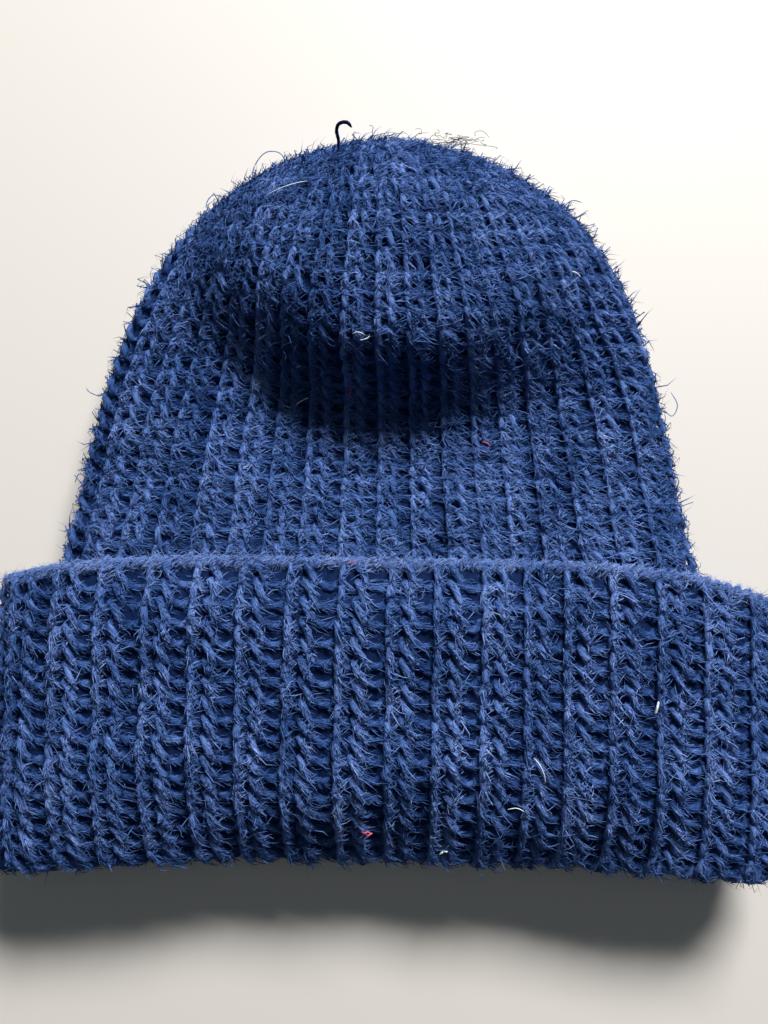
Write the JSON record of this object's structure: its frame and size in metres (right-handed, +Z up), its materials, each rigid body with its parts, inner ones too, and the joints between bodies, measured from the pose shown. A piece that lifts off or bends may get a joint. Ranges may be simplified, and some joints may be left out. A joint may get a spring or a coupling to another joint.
{
  "type": "cuffed beanie",
  "caption": "Chunky hand-knitted rib beanie with a deep turned-up cuff and a puffed, gathered crown, lying flat with its mouth open.",
  "frame": {"origin": "on the table under the middle of the hat as it lies flat: the bottom centre of its bounding box", "axes": "+Z up from the table, through the hat's back and front walls; +Y from the open mouth to the gathered crown; +X across the hat, along the cuff"},
  "size_m": [0.264, 0.2559, 0.044],
  "materials": {
    "rib_knit": "brushed, hairy chunky yarn, no shine except on single fibres",
    "loose_yarn": "the same hairy plied yarn, not knitted",
    "dark_yarn": "one ply of the yarn, felted and darker"
  },
  "bodies": {
    "root": {"crown": "rib_knit", "body": "rib_knit", "mouth_fold": "rib_knit", "cuff": "rib_knit", "cast_on_edge": "rib_knit", "gather_yarn": "loose_yarn", "crown_yarn_end": "dark_yarn", "cast_on_tail": "loose_yarn"}
  },
  "joints": []
}
